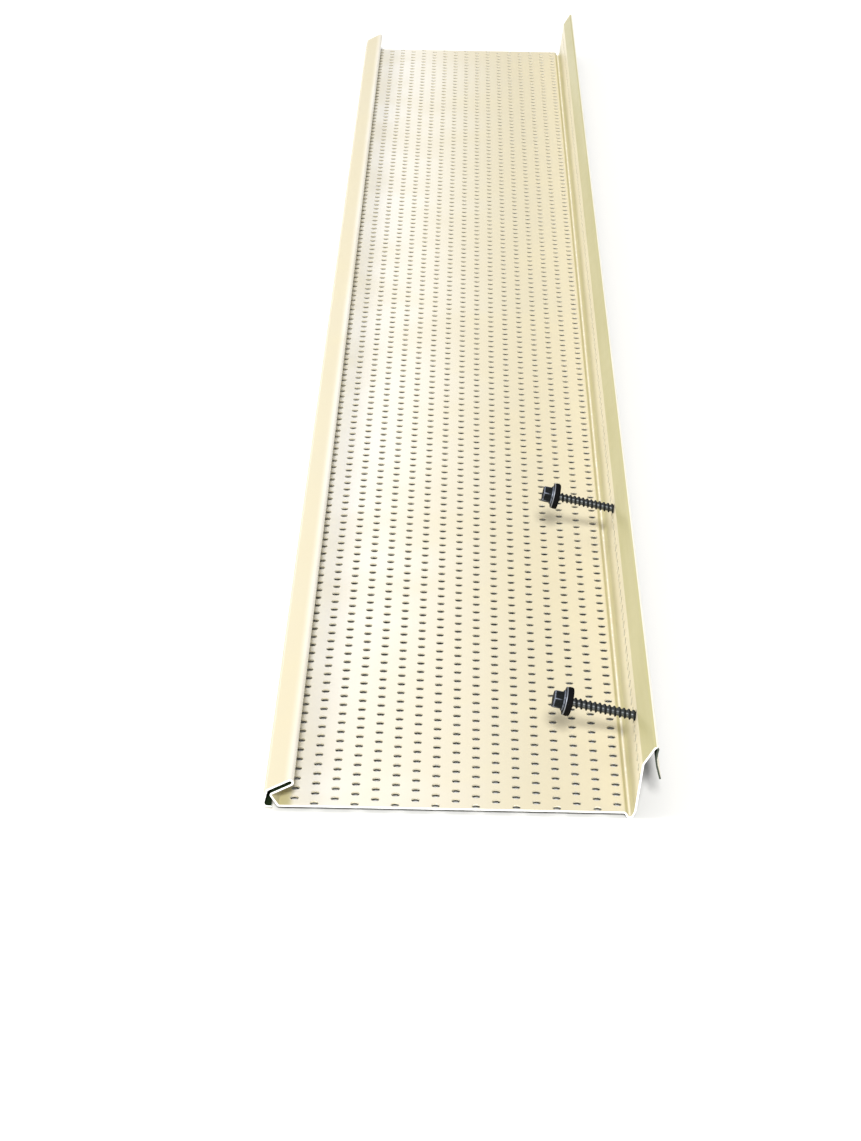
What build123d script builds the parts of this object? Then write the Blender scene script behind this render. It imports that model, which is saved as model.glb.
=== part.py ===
from build123d import *
import math
import os

# A perforated gutter guard, roll-formed from one strip of painted aluminium, with its two fixing screws.
# Millimetres. X runs from the front hook to the rear leg, Y along the length, +Z up.
# The origin is the middle of the part's footprint, at the level of its lowest bend.

# Stock
length = 914.4
sheet = 0.6

# Perforation, punched in equal strokes along the length, every other column half a row on
hole_d = 2.78
column_pitch = 6.35
row_pitch = 6.35
columns = 17
strokes = 9
first_column = 4.85
last_margin = 2.3
seam_margin = 0.25

# Front hook, from the bend where the panel begins
throat_run = 2.55
throat_rise = 4.0
hem_angle = 27.5
hem_length = 8.4
hem_gap = 1.75
nose_roundness = 0.49
shoulder_setback = 0.25
side_height = 5.75
side_lean = 1.4
lip = 2.9
tight_bend = 0.6
shoulder_bend = 1.0
lip_bend = 1.3

# Rear wall, from the bend where the panel ends
groove_run = 1.55
groove_depth = 2.9
groove_bend = 0.9
foot_run = 1.5
foot_rise = 0.3
wall_run = 1.8
wall_height = 17.0
foot_bend = 3.0
wall_bend = 1.8
wall_hole_height = 11.9
flange_run = 5.4
flange_rise = 9.0
peak_bend = 0.6
leg_run = 1.8
leg_drop = 7.2
tip_run = 1.85
tip_drop = 6.9
leg_bend = 9.0

# Fixing screws, each midway between two holes of the wall
first_screw_row = 5.5
screw_rows_apart = 26
screw_height = 15.0
screw_tilt = 12.0
screw_d = 3.5
screw_length = 28.6
screw_point = 4.0
screw_past_wall = 4.6
screw_clearance = 0.05
head_flats = 5.5
head_height = 2.9
head_edge = 0.35
head_turn = 30.0
collar_d = 6.8
collar = 0.7
washer_d = 9.3
washer = 0.5
washer_edge = 0.1
seal_d = 9.5
seal = 1.9
seal_edge = 0.3

# Bends of the front hook, on the middle line of the sheet
hem = math.radians(hem_angle)
hem_along = Vector(math.cos(hem), math.sin(hem))
hem_across = Vector(-math.sin(hem), math.cos(hem))
throat = Vector(-throat_run, throat_rise)
nose_under = throat + hem_along * hem_length
nose_over = nose_under + hem_across * hem_gap
shoulder = nose_over - hem_along * (hem_length + shoulder_setback)
lip_corner = shoulder - Vector(side_lean, side_height)
lip_end = lip_corner + Vector(lip, 0)

# The hem's nose is nearly a half circle, with a short flat left between its two bends
nose_bend = hem_gap * nose_roundness

# Bends of the rear wall, on the middle line of the sheet
last_column = first_column + (columns - 1) * column_pitch
groove_edge = Vector(last_column + last_margin, 0)
groove_bottom = groove_edge + Vector(groove_run, -groove_depth)
wall_foot = Vector(groove_bottom.X + foot_run, foot_rise)
wall_top = wall_foot + Vector(wall_run, wall_height)
peak = wall_top + Vector(flange_run, flange_rise)
leg_knee = peak + Vector(-leg_run, -leg_drop)
leg_tip = leg_knee + Vector(tip_run, -tip_drop)

# Seams between the plain edges and the perforated panel, just clear of the outer holes
front_seam = first_column - hole_d / 2 - seam_margin
rear_seam = last_column + hole_d / 2 + seam_margin

# Punching pattern. A stroke that holds a whole number of rows isn't to lose one to rounding
rounding = 1e-6
stroke_length = length / strokes
rows = math.floor(stroke_length / row_pitch + rounding)
even_columns = (columns + 1) // 2
odd_columns = columns // 2
stagger = row_pitch / 4


def front_line():
    """Draws the sheet's middle line from the turned-in lip to the front seam."""
    FilletPolyline(
        lip_end,
        lip_corner,
        shoulder,
        nose_over,
        nose_under,
        throat,
        (0, 0),
        (front_seam, 0),
        radius=[lip_bend, shoulder_bend, nose_bend, nose_bend, tight_bend, tight_bend],
    )


def rear_line():
    """Draws the sheet's middle line from the rear seam over the peak to the tip of the leg."""
    FilletPolyline(
        (rear_seam, 0),
        groove_edge,
        groove_bottom,
        wall_foot,
        wall_top,
        peak,
        leg_knee,
        leg_tip,
        radius=[groove_bend, groove_bend, foot_bend, wall_bend, peak_bend, leg_bend],
    )


# The whole section, drawn once to find the middle and the lowest point of the part
with BuildSketch() as section:
    with BuildLine():
        front_line()
    trace(line_width=sheet)
    with BuildLine():
        rear_line()
    trace(line_width=sheet)
reach = section.sketch.bounding_box()
panel_bend = Vector(-(reach.min.X + reach.max.X) / 2, 0, -reach.min.Y)
section_plane = Plane(origin=panel_bend, x_dir=(1, 0, 0), z_dir=(0, -1, 0))


def in_part(point, y):
    """Turns a point of the section into a point of the part."""
    return panel_bend + Vector(point.X, y, point.Y)


def on_wall(height):
    """Gives the point of the wall's middle line at a height over the panel's middle."""
    share = (height - wall_foot.Y) / wall_height
    return wall_foot + (wall_top - wall_foot) * share


# Front hook
with BuildPart() as front_hook:
    with BuildSketch(section_plane):
        with BuildLine():
            front_line()
        trace(line_width=sheet)
    extrude(amount=length / 2, both=True)
front_hook.part.label = "front_hook"

# Screw axes, from head to point, through the wall just under its top bend
tilt = math.radians(screw_tilt)
screw_axis = Vector(math.cos(tilt), 0, -math.sin(tilt))
first_hole = -length / 2 + stroke_length / 2 - (rows - 1) * row_pitch / 2 - stagger
near_y = first_hole + first_screw_row * row_pitch
far_y = near_y + screw_rows_apart * row_pitch
screw_planes = {
    "near": Plane(origin=in_part(on_wall(screw_height), near_y), x_dir=(0, 1, 0), z_dir=screw_axis),
    "far": Plane(origin=in_part(on_wall(screw_height), far_y), x_dir=(0, 1, 0), z_dir=screw_axis),
}

# How far each cut reaches to both sides of the wall's middle, to leave the leg behind it whole
cut_reach = 2 * sheet

# Rear wall, with the one column of holes that falls on it and a hole for each screw
wall_slope = math.atan2(wall_run, wall_height)
wall_face = Plane(
    origin=in_part(on_wall(wall_hole_height), 0),
    x_dir=(0, 1, 0),
    z_dir=(math.cos(wall_slope), 0, -math.sin(wall_slope)),
)
with BuildPart() as rear_wall:
    with BuildSketch(section_plane):
        with BuildLine():
            rear_line()
        trace(line_width=sheet)
    extrude(amount=length / 2, both=True)
    with BuildSketch(wall_face):
        with GridLocations(stroke_length, 1, strokes, 1):
            with Locations((-stagger, 0)):
                with GridLocations(row_pitch, 1, rows, 1):
                    Circle(hole_d / 2)
    extrude(amount=cut_reach, both=True, mode=Mode.SUBTRACT)
    for plane in screw_planes.values():
        with BuildSketch(plane):
            Circle(screw_d / 2 + screw_clearance)
        extrude(amount=cut_reach, both=True, mode=Mode.SUBTRACT)
rear_wall.part.label = "rear_wall"

# One stroke of the perforated panel. The face takes its holes as wires, which is quick for so many
panel_middle = (front_seam + rear_seam) / 2
panel_width = rear_seam - front_seam
panel_plane = Plane(origin=panel_bend + Vector(panel_middle, -length / 2 + stroke_length / 2, sheet / 2))
even_middle = first_column + (even_columns - 1) * column_pitch - panel_middle
odd_middle = first_column + odd_columns * column_pitch - panel_middle
with BuildSketch() as stroke:
    blank = Rectangle(panel_width, stroke_length, mode=Mode.PRIVATE)
    with Locations((even_middle, stagger)):
        with GridLocations(2 * column_pitch, row_pitch, even_columns, rows):
            even_holes = Circle(hole_d / 2, mode=Mode.PRIVATE)
    with Locations((odd_middle, -stagger)):
        with GridLocations(2 * column_pitch, row_pitch, odd_columns, rows):
            odd_holes = Circle(hole_d / 2, mode=Mode.PRIVATE)
    holes = [hole.outer_wire() for hole in even_holes.faces() + odd_holes.faces()]
    add(Face(blank.face().outer_wire(), holes))
with BuildPart() as panel:
    with BuildSketch(panel_plane):
        add(stroke.sketch)
    extrude(amount=-sheet, clean=False)

# Screws, with a hexagonal head, a collar and a plain shank in place of the thread
collar_under = screw_past_wall - screw_length
head_under = collar_under - collar
point_start = screw_past_wall - screw_point


def make_screw(plane):
    """Makes one screw on the plane of its hole."""
    with BuildPart(plane) as screw:
        with BuildSketch(Plane(origin=plane.origin, x_dir=plane.x_dir, z_dir=-plane.y_dir)):
            with BuildLine():
                Polyline(
                    (0, head_under),
                    (collar_d / 2, head_under),
                    (collar_d / 2, collar_under),
                    (screw_d / 2, collar_under),
                    (screw_d / 2, point_start),
                    (0, screw_past_wall),
                    close=True,
                )
            make_face()
        revolve(axis=Axis(plane.origin, plane.z_dir))
        with BuildSketch(plane.offset(head_under)):
            RegularPolygon(head_flats / 2, 6, major_radius=False, rotation=head_turn)
        extrude(amount=-head_height)
        chamfer(screw.faces().sort_by(Axis(plane.origin, plane.z_dir))[0].edges(), head_edge)
    return screw.part


def make_ring(plane, start, thickness, diameter, edge):
    """Makes a ring round the shank, with its rim rounded."""
    with BuildPart() as ring:
        with BuildSketch(plane.offset(start)):
            Circle(diameter / 2)
            Circle(screw_d / 2 + screw_clearance, mode=Mode.SUBTRACT)
        extrude(amount=thickness)
        if edge:
            rims = ring.edges().filter_by(GeomType.CIRCLE).group_by(SortBy.RADIUS)[-1]
            fillet(rims, edge)
    return ring.part


pieces = {"front_hook": front_hook.part, "rear_wall": rear_wall.part}
for number in range(strokes):
    pieces[f"panel_{number + 1}"] = panel.part.moved(Location((0, number * stroke_length, 0)))
for name, plane in screw_planes.items():
    pieces[f"screw_{name}"] = make_screw(plane)
    pieces[f"washer_{name}"] = make_ring(plane, collar_under, washer, washer_d, washer_edge)
    pieces[f"seal_{name}"] = make_ring(plane, collar_under + washer, seal, seal_d, seal_edge)

os.makedirs("parts", exist_ok=True)
for name, piece in pieces.items():
    piece.label = name
    export_step(piece, f"parts/{name}.step")
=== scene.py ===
import math

import bmesh
import bpy
from bpy.props import FloatProperty, FloatVectorProperty, IntProperty, PointerProperty
from mathutils import Matrix, Vector


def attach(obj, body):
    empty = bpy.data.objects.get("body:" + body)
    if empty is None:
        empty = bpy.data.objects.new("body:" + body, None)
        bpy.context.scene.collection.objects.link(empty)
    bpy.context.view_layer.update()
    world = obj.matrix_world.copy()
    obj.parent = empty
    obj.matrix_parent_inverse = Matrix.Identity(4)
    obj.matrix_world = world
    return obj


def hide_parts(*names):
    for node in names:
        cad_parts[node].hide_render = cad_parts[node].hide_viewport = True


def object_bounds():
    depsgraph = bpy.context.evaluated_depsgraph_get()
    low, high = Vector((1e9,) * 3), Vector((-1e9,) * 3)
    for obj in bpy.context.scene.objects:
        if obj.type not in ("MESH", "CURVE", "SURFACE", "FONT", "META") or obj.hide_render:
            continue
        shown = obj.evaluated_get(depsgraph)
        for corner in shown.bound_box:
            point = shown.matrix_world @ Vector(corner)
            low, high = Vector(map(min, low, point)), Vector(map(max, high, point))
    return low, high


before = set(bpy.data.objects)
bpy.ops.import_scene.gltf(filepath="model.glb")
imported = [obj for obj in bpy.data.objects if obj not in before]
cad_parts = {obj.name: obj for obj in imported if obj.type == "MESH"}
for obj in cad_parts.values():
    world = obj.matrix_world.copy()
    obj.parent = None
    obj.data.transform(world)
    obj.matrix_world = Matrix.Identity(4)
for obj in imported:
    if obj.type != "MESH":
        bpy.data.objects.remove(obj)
cad_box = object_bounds()

bl_info = {
    "name": "Gutter Guard",
    "version": (1, 0, 0),
    "blender": (4, 5, 0),
    "location": "View3D > Sidebar > Gutter Guard",
    "description": "Perforated gutter guard with its fixing screws, washers and rubber seals",
    "category": "Object",
}

MM = 0.001

# Places closer together than this are one: where they are worked out, and where copies meet
EXACT = 0.001 * MM
TOUCHING = 0.01 * MM

# Corners of the sheet's middle line, in millimetres of the part's frame: X, Z and the bend's radius
PANEL_Z = 2.092
THROAT_BEND = (-59.757, 6.092, 0.6)
NOSE_BEND = (-52.306, 9.971, 0.8575)
FRONT_BENDS = (
    (-57.207, PANEL_Z, 0.6),
    THROAT_BEND,
    NOSE_BEND,
    (-53.114, 11.523, 0.8575),
    (-60.787, 7.529, 1.0),
    (-62.187, 1.779, 1.3),
)
FRONT_END = (-59.287, 1.779)
GROOVE_BEND = (51.543, PANEL_Z, 0.9)
WALL_FOOT_BEND = (54.593, 2.392, 3.0)
GROOVE_BENDS = (
    GROOVE_BEND,
    (53.093, -0.808, 0.9),
    WALL_FOOT_BEND,
)
WALL_TOP_BEND = (56.393, 19.392, 1.8)
PEAK_BEND = (61.793, 28.392, 0.6)
UPPER_BENDS = (
    WALL_TOP_BEND,
    PEAK_BEND,
    (59.993, 21.192, 9.0),
)
REAR_END = (61.843, 14.292)

# The perforated field, and the plain strip that joins it to the bends on either side
FIELD_FRONT_X = -55.2
FIELD_REAR_X = 50.86
FIRST_COLUMN_X = -52.357
STRIP = 0.08

# Heights over the panel of the wall's holes and of the screws, the places of the screws along the rows
# of holes, how far they tip down, and the clearance round them
WALL_HOLE_HEIGHT = 11.9
SCREW_HEIGHT = 15.0
SCREW_ROWS = {"near": 5.5, "far": 31.5}
SCREW_TILT = math.radians(12)
SCREW_CLEARANCE = 0.05

# Sides of a hole, the most that a facet of a bend turns, the sections of a long plain face, and the
# angle from which an edge stays sharp
HOLE_SIDES = 12
BEND_STEP = math.radians(15)
LONG_SECTIONS = 9
SHARP = math.radians(40)

# Material slots of the sheet
WEATHER_SIDE, UNDERSIDE, CUT_ENDS, HOLE_WALLS = range(4)


def flat(point):
    """Turns a section point in millimetres into a vector in metres, in the plane of Y = 0."""
    return Vector((point[0], 0, point[1])) * MM


# Sizes and colours


class GUARD_PG_sheet(bpy.types.PropertyGroup):
    """Sizes and colours of the perforated sheet."""

    length: FloatProperty(
        name="Length",
        description="Length of the guard",
        default=cad_box[1].y - cad_box[0].y,
        unit="LENGTH",
    )
    thickness: FloatProperty(
        name="Thickness",
        description="Thickness of the sheet",
        default=0.6 * MM,
        precision=5,
        unit="LENGTH",
    )
    hole: FloatProperty(
        name="Hole",
        description="Diameter of a drain hole",
        default=2.78 * MM,
        precision=5,
        unit="LENGTH",
    )
    pitch: FloatProperty(
        name="Pitch",
        description="Distance between holes, along and across the panel",
        default=6.35 * MM,
        precision=5,
        unit="LENGTH",
    )
    columns: IntProperty(
        name="Columns",
        description="Columns of holes in the panel",
        default=17,
    )
    enamel: FloatVectorProperty(
        name="Enamel",
        description="Colour of the baked finish on the weather side",
        default=(0.669, 0.609, 0.447),
        subtype="COLOR",
        size=3,
        min=0,
        max=1,
    )
    # The underside's dark green is painted shade
    backer_shade: FloatVectorProperty(
        name="Backer",
        description="Colour of the thin coat on the underside",
        default=(0.018, 0.032, 0.012),
        subtype="COLOR",
        size=3,
        min=0,
        max=1,
    )


class GUARD_PG_screws(bpy.types.PropertyGroup):
    """Sizes and colours of the screws, washers and seals."""

    thread: FloatProperty(
        name="Thread",
        description="Outer diameter of the thread",
        default=3.5 * MM,
        precision=5,
        unit="LENGTH",
    )
    core: FloatProperty(
        name="Core",
        description="Diameter of the shank between the threads",
        default=2.45 * MM,
        precision=5,
        unit="LENGTH",
    )
    pitch: FloatProperty(
        name="Thread Pitch",
        description="Distance between two crests of the thread",
        default=1.6 * MM,
        precision=5,
        unit="LENGTH",
    )
    flats: FloatProperty(
        name="Across Flats",
        description="Width of the head across its flats",
        default=5.5 * MM,
        precision=5,
        unit="LENGTH",
    )
    steel: FloatVectorProperty(
        name="Screw Steel",
        description="Colour of the screw's dark plating",
        default=(0.009, 0.011, 0.012),
        subtype="COLOR",
        size=3,
        min=0,
        max=1,
    )
    zinc: FloatVectorProperty(
        name="Washer Zinc",
        description="Colour of the washer's dull plating",
        default=(0.006, 0.007, 0.008),
        subtype="COLOR",
        size=3,
        min=0,
        max=1,
    )
    rubber: FloatVectorProperty(
        name="Rubber",
        description="Colour of the rubber seal",
        default=(0.004, 0.004, 0.0045),
        subtype="COLOR",
        size=3,
        min=0,
        max=1,
    )


class GUARD_PG_stage(bpy.types.PropertyGroup):
    """Floor, lights and camera."""

    floor: FloatVectorProperty(
        name="Floor",
        description="Colour of the floor",
        default=(0.97, 0.97, 0.965),
        subtype="COLOR",
        size=3,
        min=0,
        max=1,
    )
    key: FloatProperty(
        name="Key Light",
        description="Strength of the soft light behind the camera",
        default=3.93,
    )
    key_height: FloatProperty(
        name="Key Height",
        description="Angle of the key light over the floor",
        default=math.radians(39),
        unit="ROTATION",
    )
    fill: FloatProperty(
        name="Fill Light",
        description="Power of the low light on the side of the front hook",
        default=21,
        unit="POWER",
    )
    room: FloatProperty(
        name="Room Light",
        description="Strength of the light from all round",
        default=0.35,
    )
    lens: FloatProperty(
        name="Lens",
        description="Focal length in millimetres, for a frame 36 mm high",
        default=90.69,
    )


# Shader maths


class Value:
    """A node's socket that Python's arithmetic works on; each operation adds a Math node."""

    def __init__(self, finish, socket):
        self.finish = finish
        self.socket = socket

    def __add__(self, other):
        return self.finish.math("ADD", self, other)

    def __sub__(self, other):
        return self.finish.math("SUBTRACT", self, other)

    def __rsub__(self, other):
        return self.finish.math("SUBTRACT", other, self)

    def __mul__(self, other):
        return self.finish.math("MULTIPLY", self, other)

    __radd__ = __add__
    __rmul__ = __mul__


class Finish:
    """A material that is built up node by node."""

    def __init__(self, name):
        self.material = bpy.data.materials.new(name)
        self.material.use_nodes = True
        self.tree = self.material.node_tree
        self.shader = self.tree.nodes["Principled BSDF"]

    def node(self, kind, settings, *values, out=0, **named):
        """Adds a node, sets it, gives its sockets their values or links, and returns an output."""
        node = self.tree.nodes.new("ShaderNode" + kind)
        for setting, value in settings.items():
            setattr(node, setting, value)
        sockets = [socket for socket in node.inputs if socket.enabled]
        by_name = {socket.name.replace(" ", "_"): socket for socket in sockets}
        pairs = list(zip(sockets, values))
        pairs += [(by_name[name], value) for name, value in named.items()]
        for socket, value in pairs:
            self.give(socket, value)
        outputs = [socket for socket in node.outputs if socket.enabled]
        return Value(self, outputs[out])

    def give(self, socket, value):
        """Links a value to a socket, or sets the socket to a number or a colour."""
        if isinstance(value, Value):
            self.tree.links.new(value.socket, socket)
        elif socket.type == "RGBA":
            socket.default_value = (*value[:3], 1)
        else:
            socket.default_value = value

    def set(self, **sockets):
        """Gives the shader's own sockets their values or links."""
        for name, value in sockets.items():
            self.give(self.shader.inputs[name.replace("_", " ")], value)

    def math(self, operation, first, second):
        """Works out one number from two."""
        return self.node("Math", {"operation": operation}, first, second)

    def place(self, stretch=(1, 1, 1)):
        """Object coordinates in metres, stretched for a pattern that runs one way."""
        coordinates = self.node("TexCoord", {}, out=3)
        return self.node("Mapping", {}, coordinates, Scale=stretch)

    def across_and_height(self, place):
        """The X and the Z of a place."""
        return self.node("SeparateXYZ", {}, place), self.node("SeparateXYZ", {}, place, out=2)

    def noted(self, name):
        """A share that was noted at the mesh's vertices."""
        return self.node("Attribute", {"attribute_name": name}, out=2)

    def noise(self, place, scale, detail=3.0):
        """A cloudy pattern around one half, finer with a larger scale."""
        return self.node("TexNoise", {}, Vector=place, Scale=scale, Detail=detail, Roughness=0.55)

    def mix(self, share, first, second):
        """Mixes two colours."""
        return self.node("Mix", {"data_type": "RGBA"}, share, first, second)

    def rise(self, value, low, high):
        """Goes smoothly from 0 at low to 1 at high."""
        settings = {"interpolation_type": "SMOOTHSTEP"}
        return self.node("MapRange", settings, value, low, high, 0.0, 1.0)

    def over(self, value, span):
        """Goes smoothly from 0 to 1 over a span that is given in millimetres."""
        return self.rise(value, span[0] * MM, span[1] * MM)

    def bump(self, height, strength, depth, normal=None):
        """Raises a pattern by a depth in millimetres, over another bump where one is given."""
        given = {"Normal": normal} if normal else {}
        return self.node("Bump", {}, Strength=strength, Distance=depth * MM, Height=height, **given)


def tinted(colour, *factors):
    """A colour made lighter or darker, by one factor or by one for each of red, green and blue."""
    if len(factors) == 1:
        factors = factors * 3
    return tuple(min(1.0, part * factor) for part, factor in zip(colour, factors))


# Colours of dirt, wear and bare metal, and of painted shade and highlights
POLLEN = (0.80, 0.72, 0.42)
DUST = (0.45, 0.42, 0.30)
# Olive of the painted shade on the flange, at the foot of the wall and in the throat
OLIVE_SHADE = (0.445, 0.415, 0.187)
# Pale of the painted highlights, and of the specks in the groove
PALE_HIGHLIGHT_AND_SPECKS = (0.97, 0.96, 0.90)
DULL_ALUMINIUM = (0.90, 0.90, 0.89)
BRIGHT_ALUMINIUM = (0.98, 0.98, 0.97)
RUBBED_ALUMINIUM = (0.86, 0.86, 0.84)
# Greyer enamel painted as shade in the rear wall's holes
SHADED_HOLE_ENAMEL = (0.50, 0.48, 0.35)
# Slate of the painted highlight between the thread's crests
THREAD_ROOT_HIGHLIGHT = (0.115, 0.125, 0.130)
# Pale of the wear and painted highlight on the screws' and washers' edges
RUBBED_STEEL_HIGHLIGHT = (0.17, 0.19, 0.24)
RUBBED_ZINC_HIGHLIGHT = (0.30, 0.32, 0.37)
RUBBER_DUST = (0.03, 0.03, 0.026)

# Where the sheet's finish changes, as spans in millimetres: across the part (X), or up it (Z)
# The panel's painted light fades over the first span; the hook's span carries painted shade and the wall's
# span painted light
PANEL_LIGHT_X = (-55, 32)
HOOK_X = (-56, -52)
THROAT_X = (-54.5, -52)
# Where the painted shade at the foot of the wall begins
FOOT_SHADE_X = (GROOVE_BEND[0] - 0.2, GROOVE_BEND[0] + 0.3)
# This span across, and a span up further below, mark the painted highlight along the groove's bottom
GROOVE_LIGHT_X = (GROOVE_BEND[0], GROOVE_BEND[0] + 0.5)
WALL_HOLES_X = (53, 54)
WALL_X = (53, 55)
LEG_X = (58.8, 59.0)
PEAK_X = (60.15, 60.45)
# Where the painted highlight on the crown of the peak lies
CROWN_X = (60.2, 60.5)
GROOVE_Z = (0.5, 1.3)
GROOVE_LIGHT_Z = (0.60, 0.72)
# How far the painted shade reaches up a hole's wall
HOLE_SHADE_Z = (1.86, 1.93)
WALL_FOOT_Z = (3.5, 11.5)
FLANGE_Z = (WALL_TOP_BEND[1] - 0.2, WALL_TOP_BEND[1] + 0.5)
CROWN_Z = (24.3, 24.7)

# Likewise, square to the flange and to the hem: away from the middle of the sheet, or over it
FLANGE_SKIN = (0.4, 0.6)
FLANGE_UNDER = (-0.60, -0.45)
HEM_OVER = (0.5, 0.9)


def over_line(across, height, start, end):
    """How far a point lies over the line from one bend to the next, square to it."""
    first = flat(start)
    along = (flat(end) - first).normalized()
    return (height - first.z) * along.x - (across - first.x) * along.z


def painted_flange_shade(finish, across, height):
    """Painted olive shade on the flange and up the foot of the wall, in streaks."""
    streaks = finish.noise(finish.place((1, 0.06, 1)), 160)
    off_flange = over_line(across, height, WALL_TOP_BEND, PEAK_BEND)
    near, far = [(distance * MM) ** 2 for distance in FLANGE_SKIN]
    on_flange = (1 - finish.rise(off_flange * off_flange, near, far)) * finish.over(height, FLANGE_Z)
    under_peak = 1 - finish.over(across, PEAK_X)
    foot = finish.over(across, FOOT_SHADE_X) * (1 - finish.over(height, WALL_FOOT_Z))
    share = on_flange * under_peak * 0.85 + foot * finish.over(height, GROOVE_Z) * 0.65
    return share * (streaks * 0.4 + 0.8)


def painted_throat_shade(finish, across, height):
    """Painted olive shade in the throat under the hem, in patches."""
    patches = finish.noise(finish.place((1, 0.2, 1)), 90)
    under_hem = 1 - finish.over(over_line(across, height, THROAT_BEND, NOSE_BEND), HEM_OVER)
    return under_hem * (1 - finish.over(across, THROAT_X)) * (patches * 0.4 + 0.45)


def groove_highlight_and_specks(finish, across, height):
    """Painted highlight along the bottom of the groove, with pale specks in it."""
    bottom = finish.over(across, GROOVE_LIGHT_X) * (1 - finish.over(height, GROOVE_LIGHT_Z))
    specks = finish.rise(finish.noise(finish.place((1, 0.5, 1)), 620, 2.0), 0.52, 0.66)
    return bottom * (specks * 0.45 + 0.5)


def painted_peak_highlight(finish, across, height):
    """Painted highlight along the crown of the peak, in short strokes."""
    crown = finish.over(across, CROWN_X) * finish.over(height, CROWN_Z)
    strokes = finish.noise(finish.place((1, 0.05, 1)), 300, 2.0)
    return crown * (strokes * 0.3 + 0.65)


def baked_enamel(sheet):
    """Cream coil coating: slow drift of tone, roller lines along the length, dust and orange peel, with
    painted light, shade and highlights.
    """
    finish = Finish("baked_enamel")
    place = finish.place()
    across, height = finish.across_and_height(place)
    drift = finish.noise(place, 14, 2.0)
    lines = finish.noise(finish.place((1, 0.012, 1)), 900, 2.0)
    dust = finish.rise(finish.noise(place, 2600, 2.0), 0.68, 0.80)
    pollen = finish.rise(finish.noise(place, 45, 4.0), 0.45, 0.75)
    cream = tuple(sheet.enamel)
    # Painted light and shade: the panel near white towards the hook and cream to the rear, the hook's top
    # a darker cream against its strong light, and the wall paler against its shade
    colour = finish.mix(finish.over(across, PANEL_LIGHT_X), tinted(cream, 1.35, 1.45, 1.88), cream)
    colour = finish.mix(1 - finish.over(across, HOOK_X), colour, tinted(cream, 1.03))
    colour = finish.mix(finish.over(across, WALL_X), colour, tinted(cream, 1.40, 1.42, 1.48))
    colour = finish.mix(finish.rise(drift, 0.35, 0.65) * 0.3, colour, tinted(cream, 1.06, 1.03, 0.96))
    colour = finish.mix(pollen * 0.10, colour, POLLEN)
    colour = finish.mix(dust * 0.10, colour, DUST)
    colour = finish.mix(lines * 0.05, colour, tinted(cream, 0.9))
    # Painted olive shade on the flange, at the foot of the wall and in the throat under the hem
    flange_shade = painted_flange_shade(finish, across, height)
    throat_shade = painted_throat_shade(finish, across, height)
    colour = finish.mix(finish.math("MAXIMUM", flange_shade, throat_shade), colour, OLIVE_SHADE)
    # Painted highlights along the groove's bottom, with pale specks, and along the crown of the peak
    marks = groove_highlight_and_specks(finish, across, height) + painted_peak_highlight(finish, across, height)
    colour = finish.mix(marks, colour, PALE_HIGHLIGHT_AND_SPECKS)
    rough = finish.noise(place, 160) * 0.14 + 0.30 + dust * 0.15
    peel = finish.bump(finish.noise(place, 1100, 2.0), 0.12, 0.02)
    rolled = finish.bump(lines, 0.06, 0.02, peel)
    finish.set(Base_Color=colour, Roughness=rough, Normal=rolled, Coat_Weight=0.12, Coat_Roughness=0.18)
    return finish.material


def backer_coat(sheet):
    """Thin, dull coat on the underside, painted dark green as shade, with roller streaks."""
    finish = Finish("backer_coat")
    streaks = finish.noise(finish.place((1, 0.02, 1)), 420)
    blotches = finish.noise(finish.place(), 55)
    tone = tuple(sheet.backer_shade)
    colour = finish.mix(streaks, tinted(tone, 0.86), tinted(tone, 1.14))
    colour = finish.mix(finish.rise(blotches, 0.5, 0.8) * 0.3, colour, tinted(tone, 0.7))
    rough = blotches * 0.2 + 0.5
    normal = finish.bump(streaks, 0.15, 0.03)
    finish.set(Base_Color=colour, Roughness=rough, Normal=normal, Specular_IOR_Level=0.15)
    return finish.material


def cut_aluminium(sheet):
    """Bare aluminium of the sheared ends, finely marked across the thickness; the leg's end is painted
    dark as shade.
    """
    finish = Finish("cut_aluminium")
    place = finish.place()
    across, height = finish.across_and_height(place)
    marks = finish.noise(finish.place((1, 1, 0.15)), 5200, 2.0)
    patches = finish.noise(place, 700, 2.0)
    colour = finish.mix(patches, DULL_ALUMINIUM, BRIGHT_ALUMINIUM)
    off_flange = over_line(across, height, WALL_TOP_BEND, PEAK_BEND)
    # Painted shade on the leg's end
    leg_shade = finish.over(across, LEG_X) * (1 - finish.over(off_flange, FLANGE_UNDER))
    colour = finish.mix(leg_shade * 0.97, colour, tinted(sheet.backer_shade, 0.8))
    rough = marks * 0.22 + 0.28 + leg_shade * 0.5
    normal = finish.bump(marks, 0.25, 0.02)
    finish.set(Base_Color=colour, Roughness=rough, Normal=normal, Metallic=(1 - leg_shade) * 0.25)
    return finish.material


def hole_wall(sheet):
    """Wall of a punched hole: enamel with rubbed spots, painted dark as shade in its lower part and greyer
    in the rear wall's holes.
    """
    finish = Finish("hole_wall")
    place = finish.place()
    across, height = finish.across_and_height(place)
    rubbed = finish.rise(finish.noise(place, 2400, 2.0), 0.50, 0.70)
    colour = finish.mix(rubbed, tinted(sheet.enamel, 0.98), RUBBED_ALUMINIUM)
    # Painted shade: greyer enamel in the holes of the rear wall, and the dark underside colour up the
    # lower part of each hole
    colour = finish.mix(finish.over(across, WALL_HOLES_X), colour, SHADED_HOLE_ENAMEL)
    colour = finish.mix(1 - finish.over(height, HOLE_SHADE_Z), colour, tuple(sheet.backer_shade))
    rough = finish.noise(place, 3000, 2.0) * 0.25 + 0.35
    normal = finish.bump(finish.noise(place, 5200, 2.0), 0.3, 0.03)
    finish.set(Base_Color=colour, Roughness=rough, Normal=normal, Metallic=rubbed * 0.5)
    return finish.material


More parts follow.
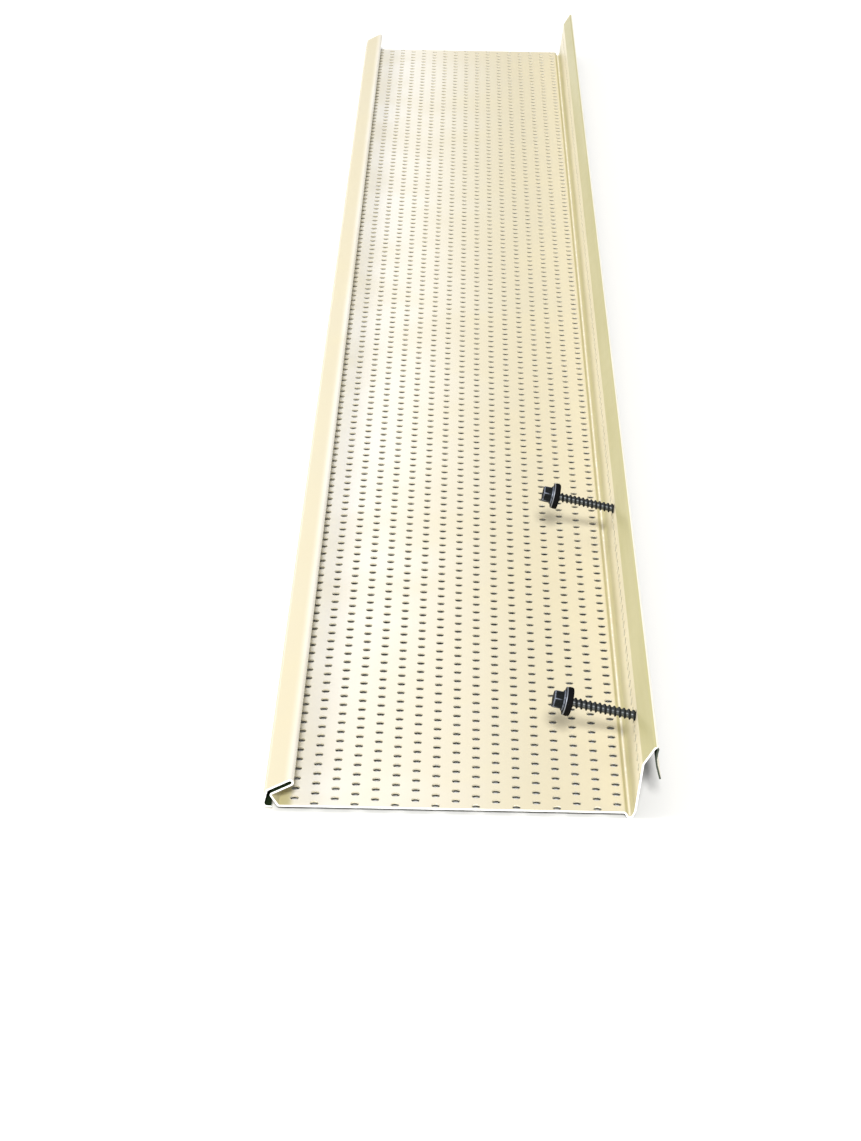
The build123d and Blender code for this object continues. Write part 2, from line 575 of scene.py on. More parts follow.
def dark_plating(screws):
    """Dark plating of the screws: black on the crests, slate between them as a painted highlight, and pale
    on corners as wear and painted highlight.
    """
    finish = Finish("dark_plating")
    place = finish.place()
    root_highlight = finish.noted("root")
    mottle = finish.noise(place, 1500)
    # Pale corners: wear and painted highlight
    rubbed = finish.noted("wear_and_highlight") * finish.rise(mottle, 0.25, 0.55)
    steel = tuple(screws.steel)
    colour = finish.mix(finish.rise(mottle, 0.35, 0.7), tinted(steel, 0.5), tinted(steel, 1.3))
    # Painted highlight: the thread's roots lighter than its crests
    colour = finish.mix(root_highlight, colour, THREAD_ROOT_HIGHLIGHT)
    colour = finish.mix(rubbed, colour, RUBBED_STEEL_HIGHLIGHT)
    rough = 0.5 + mottle * 0.15 - rubbed * 0.1 - root_highlight * 0.26
    normal = finish.bump(finish.noise(place, 6000, 2.0), 0.15, 0.02)
    metal = root_highlight * 0.9 + rubbed * 0.4
    finish.set(Base_Color=colour, Roughness=rough, Normal=normal, Metallic=metal, Specular_IOR_Level=0.08)
    return finish.material


def dull_zinc(screws):
    """Dull zinc of the washers, dark on the faces and pale along the rim, as wear and painted highlight.
    """
    finish = Finish("dull_zinc")
    place = finish.place()
    rim = finish.noted("wear_and_highlight")
    bloom = finish.noise(place, 700)
    zinc = tuple(screws.zinc)
    colour = finish.mix(finish.rise(bloom, 0.4, 0.7), tinted(zinc, 0.75), tinted(zinc, 1.3))
    # Pale rim: wear and painted highlight
    colour = finish.mix(rim * 0.9, colour, RUBBED_ZINC_HIGHLIGHT)
    rough = bloom * 0.2 + 0.5 - rim * 0.1
    normal = finish.bump(finish.noise(place, 5000, 2.0), 0.12, 0.02)
    metal = rim * 0.5
    finish.set(Base_Color=colour, Roughness=rough, Normal=normal, Metallic=metal, Specular_IOR_Level=0.08)
    return finish.material


def black_rubber(screws):
    """Matt rubber of the seals, with a fine moulded grain and a little dust."""
    finish = Finish("black_rubber")
    place = finish.place()
    grain = finish.noise(place, 3800)
    dust = finish.rise(finish.noise(place, 900), 0.55, 0.85)
    colour = finish.mix(dust * 0.1, tuple(screws.rubber), RUBBER_DUST)
    rough = grain * 0.2 + 0.7
    normal = finish.bump(grain, 0.3, 0.03)
    finish.set(Base_Color=colour, Roughness=rough, Normal=normal, Specular_IOR_Level=0.05)
    return finish.material


def studio_floor(stage):
    """Pale matt floor with a barely visible unevenness of tone."""
    finish = Finish("studio_floor")
    tone = tuple(stage.floor)
    cloud = finish.noise(finish.place(), 3)
    colour = finish.mix(cloud, tinted(tone, 0.985), tone)
    rough = cloud * 0.1 + 0.6
    finish.set(Base_Color=colour, Roughness=rough)
    return finish.material


# Mesh helpers


def verts_of(parts):
    """The vertices among a mesh's parts."""
    return [part for part in parts if isinstance(part, bmesh.types.BMVert)]


def edges_of(parts):
    """The edges among a mesh's parts."""
    return [part for part in parts if isinstance(part, bmesh.types.BMEdge)]


def extruded(bm, border):
    """Extrudes a border where it lies and returns the new border's vertices and edges."""
    made = bmesh.ops.extrude_edge_only(bm, edges=border)["geom"]
    verts = verts_of(made)
    corners = set(verts)
    return verts, [edge for edge in edges_of(made) if corners.issuperset(edge.verts)]


def run(bm, border, step):
    """Extrudes a border straight on and returns the new border."""
    verts, border = extruded(bm, border)
    bmesh.ops.translate(bm, verts=verts, vec=step)
    return border


def bend_reach(radius, going, leaving):
    """How far from its corner a bend of a radius in millimetres begins and ends."""
    return radius * MM * math.tan(going.angle(leaving) / 2)


def roll(bm, border, here, bends, end):
    """Takes a border from here through bends, the last towards end, and returns it and its place."""
    corners = [flat(bend) for bend in bends] + [flat(end)]
    for bend, corner, following in zip(bends, corners, corners[1:]):
        going = (corner - here).normalized()
        leaving = (following - corner).normalized()
        reach = bend_reach(bend[2], going, leaving)
        into = corner - going * reach
        if (into - here).length > EXACT:
            border = run(bm, border, into - here)
        inward = (leaving - going * going.dot(leaving)).normalized()
        turn = going.angle(leaving)
        side = going.z * leaving.x - going.x * leaving.z
        made = bmesh.ops.spin(
            bm,
            geom=border,
            cent=into + inward * bend[2] * MM,
            axis=(0, 1, 0),
            dvec=(0, 0, 0),
            angle=math.copysign(turn, side),
            steps=max(2, math.ceil(turn / BEND_STEP)),
            use_duplicate=False,
        )
        border = edges_of(made["geom_last"])
        here = corner + leaving * reach
    return border, here


def ring(bm, place, radius, sides):
    """Draws a round hole's edge and returns its edges."""
    verts = bmesh.ops.create_circle(bm, radius=radius, segments=sides, matrix=place)["verts"]
    return list(dict.fromkeys(edge for vert in verts for edge in vert.link_edges))


def copied(bm, parts, step):
    """Copies parts of a mesh one step on and returns the copy."""
    copy = bmesh.ops.duplicate(bm, geom=parts)["geom"]
    bmesh.ops.translate(bm, verts=verts_of(copy), vec=step)
    return copy


def shade(bm):
    """Smooth faces, with an edge left sharp where two faces meet at more than the sharp angle."""
    for face in bm.faces:
        face.smooth = True
    for edge in bm.edges:
        edge.smooth = edge.calc_face_angle(math.pi) < SHARP


def weigh_normals(piece):
    """Keeps broad faces flat beside their bends."""
    modifier = piece.modifiers.new("even_shading", "WEIGHTED_NORMAL")
    modifier.keep_sharp = True


def in_scene(name, data):
    """Adds an object to the scene."""
    thing = bpy.data.objects.new(name, data)
    bpy.context.scene.collection.objects.link(thing)
    return thing


def add_piece(name, mesh, finishes, nodes):
    """Adds a mesh as a finished piece that stands for its CAD nodes."""
    piece = in_scene(name, mesh)
    for index, finish in enumerate(finishes):
        if index < len(mesh.materials):
            mesh.materials[index] = finish
        else:
            mesh.materials.append(finish)
    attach(piece, "root")
    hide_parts(*nodes)
    return piece


# Perforated sheet


def hole_cell(bm, sheet):
    """One hole in its square of sheet, with a vertex halfway up each side for the next column."""
    bmesh.ops.create_grid(bm, x_segments=1, y_segments=2, size=sheet.pitch / 2)
    edges = [edge for edge in bm.edges if edge.is_boundary]
    bmesh.ops.delete(bm, geom=bm.faces[:], context="FACES_ONLY")
    inner = [edge for edge in bm.edges if edge not in edges]
    bmesh.ops.delete(bm, geom=inner, context="EDGES")
    turn = Matrix.Rotation(math.pi / HOLE_SIDES, 4, "Z")
    edges += ring(bm, turn, sheet.hole / 2, HOLE_SIDES)
    bmesh.ops.triangle_fill(bm, edges=edges, use_beauty=True, normal=(0, 0, 1))


def perforated_field(sheet):
    """The panel's columns of holes, each column half a row on from the last, cut off at both ends."""
    bm = bmesh.new()
    hole_cell(bm, sheet)
    before_first_row = -sheet.length / 2 - sheet.pitch / 4
    start = Vector((FIRST_COLUMN_X * MM, before_first_row, PANEL_Z * MM))
    bmesh.ops.translate(bm, verts=bm.verts[:], vec=start)
    cell = bm.verts[:] + bm.edges[:] + bm.faces[:]
    for _ in range(round(sheet.length / sheet.pitch) + 1):
        cell = copied(bm, cell, (0, sheet.pitch, 0))
    column = bm.verts[:] + bm.edges[:] + bm.faces[:]
    for index in range(1, sheet.columns):
        shift = -sheet.pitch / 2 if index % 2 else sheet.pitch / 2
        column = copied(bm, column, (sheet.pitch, shift, 0))
    bmesh.ops.remove_doubles(bm, verts=bm.verts[:], dist=TOUCHING)
    for side, x in ((-1, FIELD_FRONT_X), (1, FIELD_REAR_X)):
        for vert in outer_verts(bm, side):
            vert.co.x = x * MM
    for end in (-1, 1):
        bmesh.ops.bisect_plane(
            bm,
            geom=bm.verts[:] + bm.edges[:] + bm.faces[:],
            plane_co=(0, end * sheet.length / 2, 0),
            plane_no=(0, end, 0),
            dist=EXACT,
            clear_outer=True,
        )
    return bm


def outer_verts(bm, side):
    """The vertices furthest out on one side."""
    outer = side * max(side * vert.co.x for vert in bm.verts)
    return [vert for vert in bm.verts if abs(vert.co.x - outer) < TOUCHING]


def long_border(bm, side):
    """The edges of the border on one side."""
    found = set(outer_verts(bm, side))
    return [edge for edge in bm.edges if edge.is_boundary and found.issuperset(edge.verts)]


def plain_strip(bm, side):
    """Runs a plain strip on from one side, with only a few edges across it, and returns its border."""
    border = run(bm, long_border(bm, side), (side * STRIP * MM, 0, 0))
    outer = {vert for edge in border for vert in edge.verts}
    across = [
        edge
        for vert in outer
        for edge in vert.link_edges
        if edge.other_vert(vert) not in outer
    ]
    across.sort(key=lambda edge: edge.verts[0].co.y)
    last = len(across) - 1
    kept = {round(last * share / LONG_SECTIONS) for share in range(LONG_SECTIONS + 1)}
    spare = [edge for index, edge in enumerate(across) if index not in kept]
    bmesh.ops.dissolve_edges(bm, edges=spare, use_verts=True)
    return long_border(bm, side)


def on_wall(sheet, height, row):
    """A point of the wall's middle, in a row of its holes and so many millimetres over the panel."""
    foot = flat(WALL_FOOT_BEND)
    top = flat(WALL_TOP_BEND)
    share = ((PANEL_Z + height) * MM - foot.z) / (top.z - foot.z)
    y = -sheet.length / 2 + (row + 1 / 4) * sheet.pitch
    return foot.lerp(top, share) + Vector((0, y, 0))


def wall_band(bm, border, here, sheet, screws):
    """The rear wall between its bends, with its column of holes and a hole for each screw."""
    top = flat(WALL_TOP_BEND)
    up = (top - flat(WALL_FOOT_BEND)).normalized()
    beyond = (flat(PEAK_BEND) - top).normalized()
    there = top - up * bend_reach(WALL_TOP_BEND[2], up, beyond)
    far = run(bm, border, there - here)
    faces = list(dict.fromkeys(face for edge in far for face in edge.link_faces))
    around = dict.fromkeys(edge for face in faces for edge in face.edges)
    rungs = [edge for edge in around if edge not in far and edge not in border]
    ends = [edge for edge in rungs if abs(abs(edge.verts[0].co.y) - sheet.length / 2) < EXACT]
    bmesh.ops.delete(bm, geom=faces, context="FACES_ONLY")
    bmesh.ops.delete(bm, geom=[edge for edge in rungs if edge not in ends], context="EDGES")
    edges = far + border + ends
    facing = Matrix.Rotation(math.atan2(up.x, up.z) - math.pi / 2, 4, "Y")
    for row in range(round(sheet.length / sheet.pitch)):
        place = Matrix.Translation(on_wall(sheet, WALL_HOLE_HEIGHT, row)) @ facing
        edges += ring(bm, place, sheet.hole / 2, HOLE_SIDES)
    for row in SCREW_ROWS.values():
        place = Matrix.Translation(on_wall(sheet, SCREW_HEIGHT, row)) @ facing
        edges += ring(bm, place, screws.thread / 2 + SCREW_CLEARANCE * MM, 2 * HOLE_SIDES)
    bmesh.ops.triangle_fill(bm, edges=edges, use_beauty=True, normal=facing.col[2].xyz)
    return far, there


def folded_sheet(sheet, screws):
    """The whole sheet as one surface: the perforated panel, the hook and the rear wall."""
    bm = perforated_field(sheet)
    start = flat((FIELD_FRONT_X - STRIP, PANEL_Z))
    border, here = roll(bm, plain_strip(bm, -1), start, FRONT_BENDS, FRONT_END)
    run(bm, border, flat(FRONT_END) - here)
    start = flat((FIELD_REAR_X + STRIP, PANEL_Z))
    border, here = roll(bm, plain_strip(bm, 1), start, GROOVE_BENDS, WALL_TOP_BEND)
    border, here = wall_band(bm, border, here, sheet, screws)
    border, here = roll(bm, border, here, UPPER_BENDS, REAR_END)
    run(bm, border, flat(REAR_END) - here)
    bmesh.ops.recalc_face_normals(bm, faces=bm.faces[:])
    middle = min(bm.faces, key=lambda face: face.calc_center_median().xy.length)
    if middle.normal.z < 0:
        bmesh.ops.reverse_faces(bm, faces=bm.faces[:])
    return bm


def thicken(bm, sheet):
    """Gives the surface its thickness, with a material each for top, underside, ends and holes."""
    surface = bpy.data.meshes.new("surface")
    bm.to_mesh(surface)
    bm.free()
    for _ in (WEATHER_SIDE, UNDERSIDE, CUT_ENDS, HOLE_WALLS):
        surface.materials.append(None)
    blank = in_scene("blank", surface)
    wall = blank.modifiers.new("thickness", "SOLIDIFY")
    wall.thickness = sheet.thickness
    wall.offset = 0
    wall.use_even_offset = True
    wall.use_rim = True
    wall.material_offset = UNDERSIDE
    wall.material_offset_rim = CUT_ENDS
    evaluated = blank.evaluated_get(bpy.context.evaluated_depsgraph_get())
    mesh = bpy.data.meshes.new_from_object(evaluated)
    bpy.data.objects.remove(blank)
    bpy.data.meshes.remove(surface)
    mesh.name = "guard_sheet"
    return mesh


def name_hole_walls(bm, sheet):
    """Gives the walls of the holes their own material, and leaves bare those that face straight across."""
    for face in bm.faces:
        on_end = abs(abs(face.calc_center_median().y) - sheet.length / 2) < TOUCHING
        straight_across = face.normal.y == 0
        if face.material_index == CUT_ENDS and not on_end and not straight_across:
            face.material_index = HOLE_WALLS


class GUARD_OT_sheet(bpy.types.Operator):
    """Make the perforated sheet with its hook and rear wall"""

    bl_idname = "guard.make_sheet"
    bl_label = "Make Sheet"

    def execute(self, context):
        sheet = context.scene.guard_sheet
        mesh = thicken(folded_sheet(sheet, context.scene.guard_screws), sheet)
        bm = bmesh.new()
        bm.from_mesh(mesh)
        name_hole_walls(bm, sheet)
        shade(bm)
        bm.to_mesh(mesh)
        bm.free()
        nodes = [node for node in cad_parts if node.startswith(("front_", "rear_", "panel_"))]
        finishes = [baked_enamel(sheet), backer_coat(sheet), cut_aluminium(sheet), hole_wall(sheet)]
        piece = add_piece("guard_sheet", mesh, finishes, nodes)
        weigh_normals(piece)
        return {"FINISHED"}


# Screws, washers and seals

# Places along a screw's axis in millimetres, from the middle of the wall
HEAD_END = -27.6
HEAD_UNDER = -24.7
COLLAR_UNDER = -24.0
WASHER_UNDER = -23.5
SEAL_UNDER = -21.6
POINT_START = 0.6
POINT_END = 4.6

# Profiles to turn round that axis, as radius and height
BORE = 1.8
COLLAR_PROFILE = (
    (0, HEAD_UNDER),
    (2.9, HEAD_UNDER),
    (3.25, HEAD_UNDER + 0.08),
    (3.4, HEAD_UNDER + 0.28),
    (3.4, COLLAR_UNDER - 0.08),
    (3.32, COLLAR_UNDER),
    (0, COLLAR_UNDER),
)
WASHER_PROFILE = (
    (BORE, COLLAR_UNDER),
    (3.4, COLLAR_UNDER),
    (4.4, COLLAR_UNDER + 0.02),
    (4.6, COLLAR_UNDER + 0.1),
    (4.65, COLLAR_UNDER + 0.25),
    (4.6, WASHER_UNDER - 0.06),
    (4.5, WASHER_UNDER),
    (BORE, WASHER_UNDER),
)
SEAL_PROFILE = (
    (BORE, WASHER_UNDER),
    (4.35, WASHER_UNDER),
    (4.56, WASHER_UNDER + 0.08),
    (4.66, WASHER_UNDER + 0.25),
    (4.73, WASHER_UNDER + 0.6),
    (4.75, WASHER_UNDER + 1.0),
    (4.73, SEAL_UNDER - 0.5),
    (4.66, SEAL_UNDER - 0.22),
    (4.5, SEAL_UNDER - 0.06),
    (4.3, SEAL_UNDER),
    (2.1, SEAL_UNDER),
    (BORE, SEAL_UNDER - 0.15),
)

# Facets round the collar, and round a washer or a seal
COLLAR_SIDES = 64
RING_SIDES = 72

# Form of the thread: its sections to a turn, where the far side of its tooth starts and ends, where the
# shank is closed inside the collar and at the tip, the share of its width that is left at the tip, and
# the share that is left where the collar hides it
THREAD_STEPS = 24
THREAD_START = COLLAR_UNDER + 0.2
THREAD_END = POINT_END - 0.3
SHANK_TOP = COLLAR_UNDER - 0.25
SHANK_TIP = POINT_END - 0.1
BLUNT_SHARE = 0.02
HIDDEN_UNDER = COLLAR_UNDER - 0.2
HIDDEN_SHARE = 0.9

# Form of the head, in millimetres: how deep it sinks into the collar, the chamfer of its end, the
# rounding of its corners, the margin of its flats, and the rim, slope and depth of the dish in its end
HEAD_SINK = 0.1
HEAD_CHAMFER = 0.35
HEAD_CORNER = 0.16
FLAT_MARGIN = 0.18
DISH_RIM = 0.55
DISH_SLOPE = 0.35
DISH_DEPTH = 0.4

# Where plating rubs off and a highlight is painted: past a share of the corners' radius on the head,
# between two places and past a radius round its end, past a radius on the collar, and past a radius on the
# washer's head side
HIGHLIGHT_WEAR_CORNER = 0.965
HIGHLIGHT_WEAR_END = (HEAD_END + 0.05, HEAD_END + 0.4)
HIGHLIGHT_WEAR_END_RADIUS = 2.3
HIGHLIGHT_WEAR_COLLAR_RADIUS = 3.35
HIGHLIGHT_WEAR_WASHER_RADIUS = 4.5
HIGHLIGHT_WEAR_WASHER_END = WASHER_UNDER - 0.1


def screw_place(end, sheet):
    """The frame of a screw: Z along its axis from head to point, with the wall at zero."""
    spot = on_wall(sheet, SCREW_HEIGHT, SCREW_ROWS[end])
    return Matrix.Translation(spot) @ Matrix.Rotation(math.pi / 2 + SCREW_TILT, 4, "Y")


def outline(bm, points, closed=False):
    """Draws a profile of radius and height points, in millimetres, and returns its parts."""
    verts = [bm.verts.new((radius * MM, 0, height * MM)) for radius, height in points]
    edges = [bm.edges.new(pair) for pair in zip(verts, verts[1:])]
    if closed:
        edges.append(bm.edges.new((verts[-1], verts[0])))
    return verts + edges


def turned(profile, sides):
    """Turns a closed profile into a ring, or one that meets the axis into a solid."""
    bm = bmesh.new()
    bmesh.ops.spin(
        bm,
        geom=outline(bm, profile, closed=True),
        cent=(0, 0, 0),
        axis=(0, 0, 1),
        dvec=(0, 0, 0),
        angle=2 * math.pi,
        steps=sides,
        use_merge=True,
    )
    bmesh.ops.remove_doubles(bm, verts=bm.verts[:], dist=EXACT)
    bmesh.ops.dissolve_degenerate(bm, edges=bm.edges[:], dist=EXACT)
    return bm


def threaded_shank(screws):
    """The thread as one turned helix, tapered to its point and closed at both ends."""
    bm = bmesh.new()
    pitch = screws.pitch / MM
    crest = screws.thread / 2 / MM
    core = screws.core / 2 / MM
    flank = crest * 0.93
    tooth = (
        (0, core),
        (0.40, core),
        (0.56, flank),
        (0.64, crest),
        (0.76, crest),
        (0.84, flank),
        (1, core),
    )
    first = THREAD_START - pitch
    steps = round(((THREAD_END - first) / pitch - 1) * THREAD_STEPS)
    bmesh.ops.spin(
        bm,
        geom=outline(bm, [(radius, first + share * pitch) for share, radius in tooth]),
        cent=(0, 0, 0),
        axis=(0, 0, 1),
        dvec=(0, 0, screws.pitch / THREAD_STEPS),
        angle=2 * math.pi * steps / THREAD_STEPS,
        steps=steps,
    )
    bmesh.ops.remove_doubles(bm, verts=bm.verts[:], dist=EXACT)
    middle = (first + POINT_END) / 2 * MM
    loose = [edge for edge in bm.edges if edge.is_boundary]
    for level, is_point in ((SHANK_TOP, False), (SHANK_TIP, True)):
        border = [edge for edge in loose if (edge.verts[0].co.z > middle) == is_point]
        verts, rim = extruded(bm, border)
        bmesh.ops.scale(bm, verts=verts, vec=(1, 1, 0), space=Matrix.Translation((0, 0, -level * MM)))
        bmesh.ops.holes_fill(bm, edges=rim, sides=0)
    for vert in bm.verts:
        past = (vert.co.z / MM - POINT_START) / (POINT_END - POINT_START)
        if past > 0:
            vert.co.xy *= max(BLUNT_SHARE, 1 - past)
        if vert.co.z < HIDDEN_UNDER * MM:
            vert.co.xy *= HIDDEN_SHARE
    return bm


def hexagon_head(screws):
    """The hexagon with softened edges, a chamfered end and a shallow dish in it."""
    bm = bmesh.new()
    base = HEAD_UNDER + HEAD_SINK
    place = Matrix.Translation((0, 0, base * MM)) @ Matrix.Rotation(math.pi / 6, 4, "Z")
    radius = screws.flats / math.sqrt(3)
    made = bmesh.ops.create_circle(bm, cap_ends=True, radius=radius, segments=6, matrix=place)
    raised = bmesh.ops.extrude_face_region(bm, geom=made["verts"][0].link_faces[:])["geom"]
    bmesh.ops.translate(bm, verts=verts_of(raised), vec=(0, 0, (HEAD_END - base) * MM))
    end = next(part for part in raised if isinstance(part, bmesh.types.BMFace))
    soften = {
        "affect": "EDGES",
        "offset_type": "OFFSET",
        "segments": 2,
        "profile": 0.5,
        "material": -1,
        "clamp_overlap": True,
    }
    bmesh.ops.bevel(bm, geom=end.edges[:], offset=HEAD_CHAMFER * MM, **soften)
    corners = [edge for edge in bm.edges if is_upright(edge)]
    bmesh.ops.bevel(bm, geom=corners, offset=HEAD_CORNER * MM, **soften)
    flats = [face for face in bm.faces if face.calc_area() > 3 * MM * MM and abs(face.normal.z) < 0.1]
    bmesh.ops.inset_individual(bm, faces=flats, thickness=FLAT_MARGIN * MM)
    facing_out = [face for face in bm.faces if face.normal.z < -0.9]
    end = min(facing_out, key=lambda face: face.calc_center_median().z)
    bmesh.ops.inset_region(bm, faces=[end], thickness=DISH_RIM * MM)
    bmesh.ops.inset_region(bm, faces=[end], thickness=DISH_SLOPE * MM, depth=-DISH_DEPTH * MM)
    return bm


def is_upright(edge):
    """True for a corner edge of the hexagon that runs along the axis."""
    along = (edge.verts[0].co - edge.verts[1].co).normalized()
    return abs(along.z) > 0.99 and edge.calc_length() > 1 * MM


def join(bm, other):
    """Adds another bmesh's parts to this one."""
    mesh = bpy.data.meshes.new("part")
    other.to_mesh(mesh)
    other.free()
    bm.from_mesh(mesh)
    bpy.data.meshes.remove(mesh)


def set_in_place(name, bm, place, notes):
    """Shades a piece made on its own axis, notes shares over its surface, and sets it in place."""
    bmesh.ops.recalc_face_normals(bm, faces=bm.faces[:])
    shade(bm)
    for note, share in notes.items():
        layer = bm.verts.layers.float.new(note)
        for vert in bm.verts:
            vert[layer] = share(vert.co / MM)
    bmesh.ops.transform(bm, matrix=place, verts=bm.verts[:])
    mesh = bpy.data.meshes.new(name)
    bm.to_mesh(mesh)
    bm.free()
    return mesh


def screw_wear_and_highlight(screws):
    """How a screw wears and where its highlight is painted: 1 on the head's corners, round its end and on
    the collar's rim, else 0.
    """
    corner = screws.flats / math.sqrt(3) / MM

    def wear_and_highlight(spot):
        reach = spot.xy.length
        on_corner = HEAD_END <= spot.z < HEAD_UNDER and reach > corner * HIGHLIGHT_WEAR_CORNER
        round_end = HIGHLIGHT_WEAR_END[0] < spot.z < HIGHLIGHT_WEAR_END[1] and reach > HIGHLIGHT_WEAR_END_RADIUS
        on_collar = HEAD_UNDER < spot.z < COLLAR_UNDER and reach > HIGHLIGHT_WEAR_COLLAR_RADIUS
        return 1.0 if on_corner or round_end or on_collar else 0.0

    return wear_and_highlight


def thread_root(screws):
    """How deep a point lies in the thread: 0 on the crests and the head, and 1 on the core."""
    crest = screws.thread / 2 / MM
    core = screws.core / 2 / MM

    def root(spot):
        if spot.z < COLLAR_UNDER:
            return 0.0
        return max(0.0, min(1.0, (crest - spot.xy.length) / (crest - core))) ** 2

    return root


def washer_wear_and_highlight(spot):
    """How a washer wears and where its highlight is painted: 1 round its rim, else 0."""
    return 1.0 if spot.xy.length > HIGHLIGHT_WEAR_WASHER_RADIUS and spot.z < HIGHLIGHT_WEAR_WASHER_END else 0.0


class GUARD_OT_screws(bpy.types.Operator):
    """Make the two hexagon washer-head screws"""

    bl_idname = "guard.make_screws"
    bl_label = "Make Screws"

    def execute(self, context):
        screws = context.scene.guard_screws
        plating = dark_plating(screws)
        notes = {"wear_and_highlight": screw_wear_and_highlight(screws), "root": thread_root(screws)}
        for end in SCREW_ROWS:
            bm = threaded_shank(screws)
            join(bm, turned(COLLAR_PROFILE, COLLAR_SIDES))
            join(bm, hexagon_head(screws))
            name = f"fixing_screw_{end}"
            mesh = set_in_place(name, bm, screw_place(end, context.scene.guard_sheet), notes)
            add_piece(name, mesh, [plating], [f"screw_{end}"])
        return {"FINISHED"}


class GUARD_OT_washers(bpy.types.Operator):
    """Make the two zinc washers"""

    bl_idname = "guard.make_washers"
    bl_label = "Make Washers"

    def execute(self, context):
        zinc = dull_zinc(context.scene.guard_screws)
        for end in SCREW_ROWS:
            bm = turned(WASHER_PROFILE, RING_SIDES)
            name = f"zinc_washer_{end}"
            place = screw_place(end, context.scene.guard_sheet)
            mesh = set_in_place(name, bm, place, {"wear_and_highlight": washer_wear_and_highlight})
            piece = add_piece(name, mesh, [zinc], [f"washer_{end}"])
            weigh_normals(piece)
        return {"FINISHED"}


class GUARD_OT_seals(bpy.types.Operator):
    """Make the two rubber seals"""

    bl_idname = "guard.make_seals"
    bl_label = "Make Seals"

    def execute(self, context):
        rubber = black_rubber(context.scene.guard_screws)
        for end in SCREW_ROWS:
            bm = turned(SEAL_PROFILE, RING_SIDES)
            name = f"rubber_seal_{end}"
            mesh = set_in_place(name, bm, screw_place(end, context.scene.guard_sheet), {})
            piece = add_piece(name, mesh, [rubber], [f"seal_{end}"])
            weigh_normals(piece)
        return {"FINISHED"}


# Stage

# Where the camera stands, in millimetres, and how it is turned: its tip up from straight down, its
# heading and its roll
CAMERA_SPOT = (-3.96, -1241.1, 450.8)
CAMERA_TIP = math.radians(64.95)
CAMERA_HEADING = math.radians(0.487)
CAMERA_ROLL = math.radians(0.90)

# Lights: how broad the key looks, where the fill stands and how wide it is, in metres, and colours
KEY_BREADTH = math.radians(11)
KEY_COLOUR = (1.0, 0.99, 0.965)
FILL_SPOT = (-1.6, -0.2, 1.1)
FILL_WIDTH = 1.4
FILL_COLOUR = (1.0, 0.99, 0.97)
FLOOR_HALF_WIDTH = 9


def add_floor(stage):
    """Adds the floor."""
    bm = bmesh.new()
    bmesh.ops.create_grid(bm, x_segments=4, y_segments=4, size=FLOOR_HALF_WIDTH)
    mesh = bpy.data.meshes.new("floor")
    bm.to_mesh(mesh)
    bm.free()
    mesh.materials.append(studio_floor(stage))
    return in_scene("floor", mesh)


def add_key(stage):
    """Adds a broad, soft light from behind the camera, at an angle over the floor."""
    data = bpy.data.lights.new("key", "SUN")
    data.energy = stage.key
    data.angle = KEY_BREADTH
    data.color = KEY_COLOUR
    light = in_scene("key", data)
    light.rotation_euler = (math.pi / 2 - stage.key_height, 0, 0)
    return light


def add_fill(stage):
    """Adds a square area light on the side of the front hook, which points at the part."""
    data = bpy.data.lights.new("fill", "AREA")
    data.shape = "SQUARE"
    data.size = FILL_WIDTH
    data.energy = stage.fill
    data.color = FILL_COLOUR
    light = in_scene("fill", data)
    light.location = FILL_SPOT
    light.rotation_euler = (-Vector(FILL_SPOT)).to_track_quat("-Z", "Y").to_euler()
    return light


def light_room(tree, strength):
    """Lights the room evenly, and leaves it white to look at past the edge of the floor."""
    background = tree.nodes["Background"]
    background.inputs["Color"].default_value = (1.0, 1.0, 1.0, 1)
    seen = tree.nodes.new("ShaderNodeLightPath").outputs["Is Camera Ray"]
    brightest = tree.nodes.new("ShaderNodeMath")
    brightest.operation = "MAXIMUM"
    brightest.inputs[1].default_value = strength
    tree.links.new(seen, brightest.inputs[0])
    tree.links.new(brightest.outputs[0], background.inputs["Strength"])


def add_camera(stage):
    """Adds the camera, which looks along the guard from over its near end."""
    camera = in_scene("camera", bpy.data.cameras.new("camera"))
    camera.data.lens = stage.lens
    camera.data.clip_start = 0.05
    camera.data.clip_end = 50
    heading = Matrix.Rotation(CAMERA_HEADING, 4, "Z")
    tip = Matrix.Rotation(CAMERA_TIP, 4, "X")
    turn = Matrix.Rotation(CAMERA_ROLL, 4, "Z")
    camera.matrix_world = Matrix.Translation(Vector(CAMERA_SPOT) * MM) @ heading @ tip @ turn
    return camera


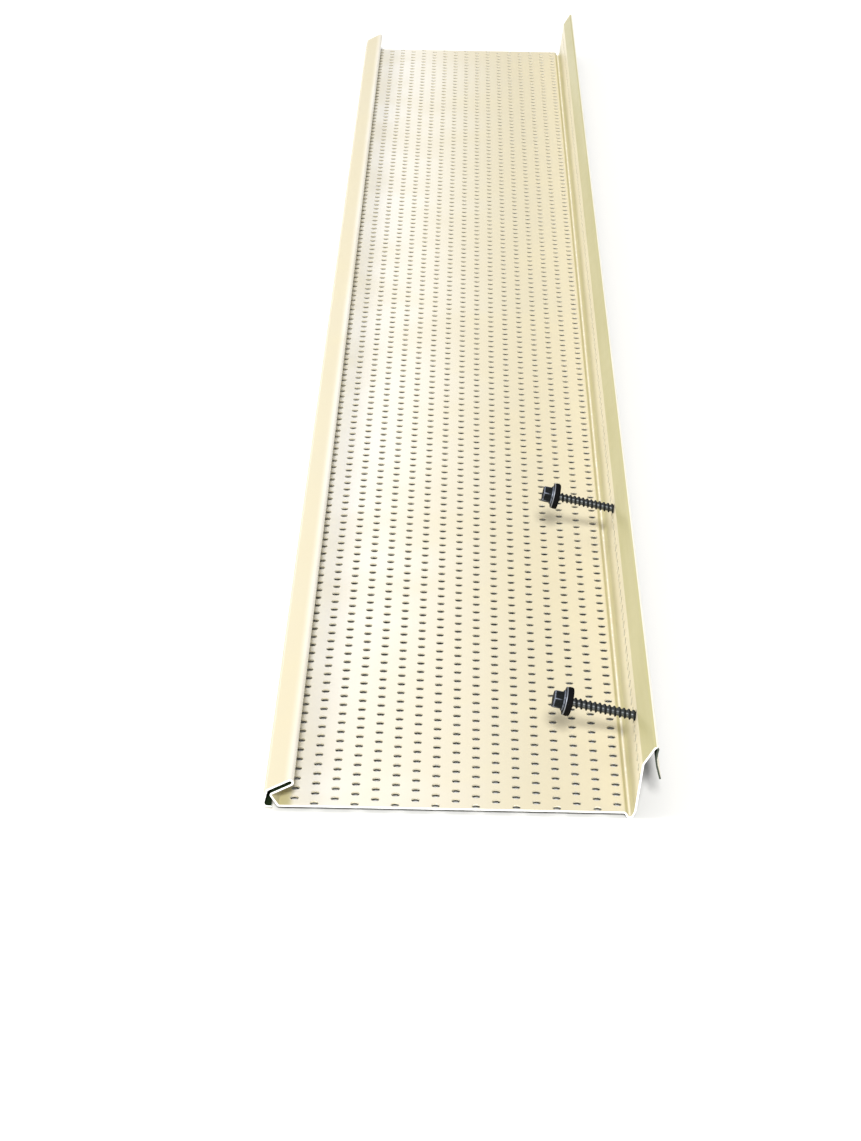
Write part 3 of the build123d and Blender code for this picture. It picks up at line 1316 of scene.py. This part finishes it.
class GUARD_OT_stage(bpy.types.Operator):
    """Make the floor, the lights and the camera"""

    bl_idname = "guard.make_stage"
    bl_label = "Make Stage"

    def execute(self, context):
        stage = context.scene.guard_stage
        floor = add_floor(stage)
        key = add_key(stage)
        fill = add_fill(stage)
        world = bpy.data.worlds.new("room")
        world.use_nodes = True
        light_room(world.node_tree, stage.room)
        context.scene.world = world
        context.scene.camera = add_camera(stage)
        context.scene.view_settings.view_transform = "Standard"
        return {"FINISHED"}


class GUARD_PT_parts(bpy.types.Panel):
    """Lists the operators that make the guard, and its sizes and colours"""

    bl_label = "Gutter Guard"
    bl_idname = "GUARD_PT_parts"
    bl_space_type = "VIEW_3D"
    bl_region_type = "UI"
    bl_category = "Gutter Guard"

    def draw(self, context):
        for maker in MAKERS:
            self.layout.operator(maker.bl_idname)
        for group in GROUPS:
            settings = getattr(context.scene, group)
            for name in settings.bl_rna.properties.keys():
                if name not in ("rna_type", "name"):
                    self.layout.prop(settings, name)


GROUPS = {
    "guard_sheet": GUARD_PG_sheet,
    "guard_screws": GUARD_PG_screws,
    "guard_stage": GUARD_PG_stage,
}
MAKERS = (GUARD_OT_sheet, GUARD_OT_screws, GUARD_OT_washers, GUARD_OT_seals, GUARD_OT_stage)


def register():
    """Registers the classes and gives every scene its sizes and colours."""
    for group in GROUPS.values():
        bpy.utils.register_class(group)
    for maker in MAKERS:
        bpy.utils.register_class(maker)
    bpy.utils.register_class(GUARD_PT_parts)
    for name, group in GROUPS.items():
        setattr(bpy.types.Scene, name, PointerProperty(type=group))


def unregister():
    """Takes back what register added."""
    for name in GROUPS:
        delattr(bpy.types.Scene, name)
    bpy.utils.unregister_class(GUARD_PT_parts)
    for maker in MAKERS:
        bpy.utils.unregister_class(maker)
    for group in GROUPS.values():
        bpy.utils.unregister_class(group)


def main():
    """Makes every piece in turn."""
    register()
    bpy.ops.guard.make_sheet()
    bpy.ops.guard.make_screws()
    bpy.ops.guard.make_washers()
    bpy.ops.guard.make_seals()
    bpy.ops.guard.make_stage()


if __name__ == "__main__":
    main()
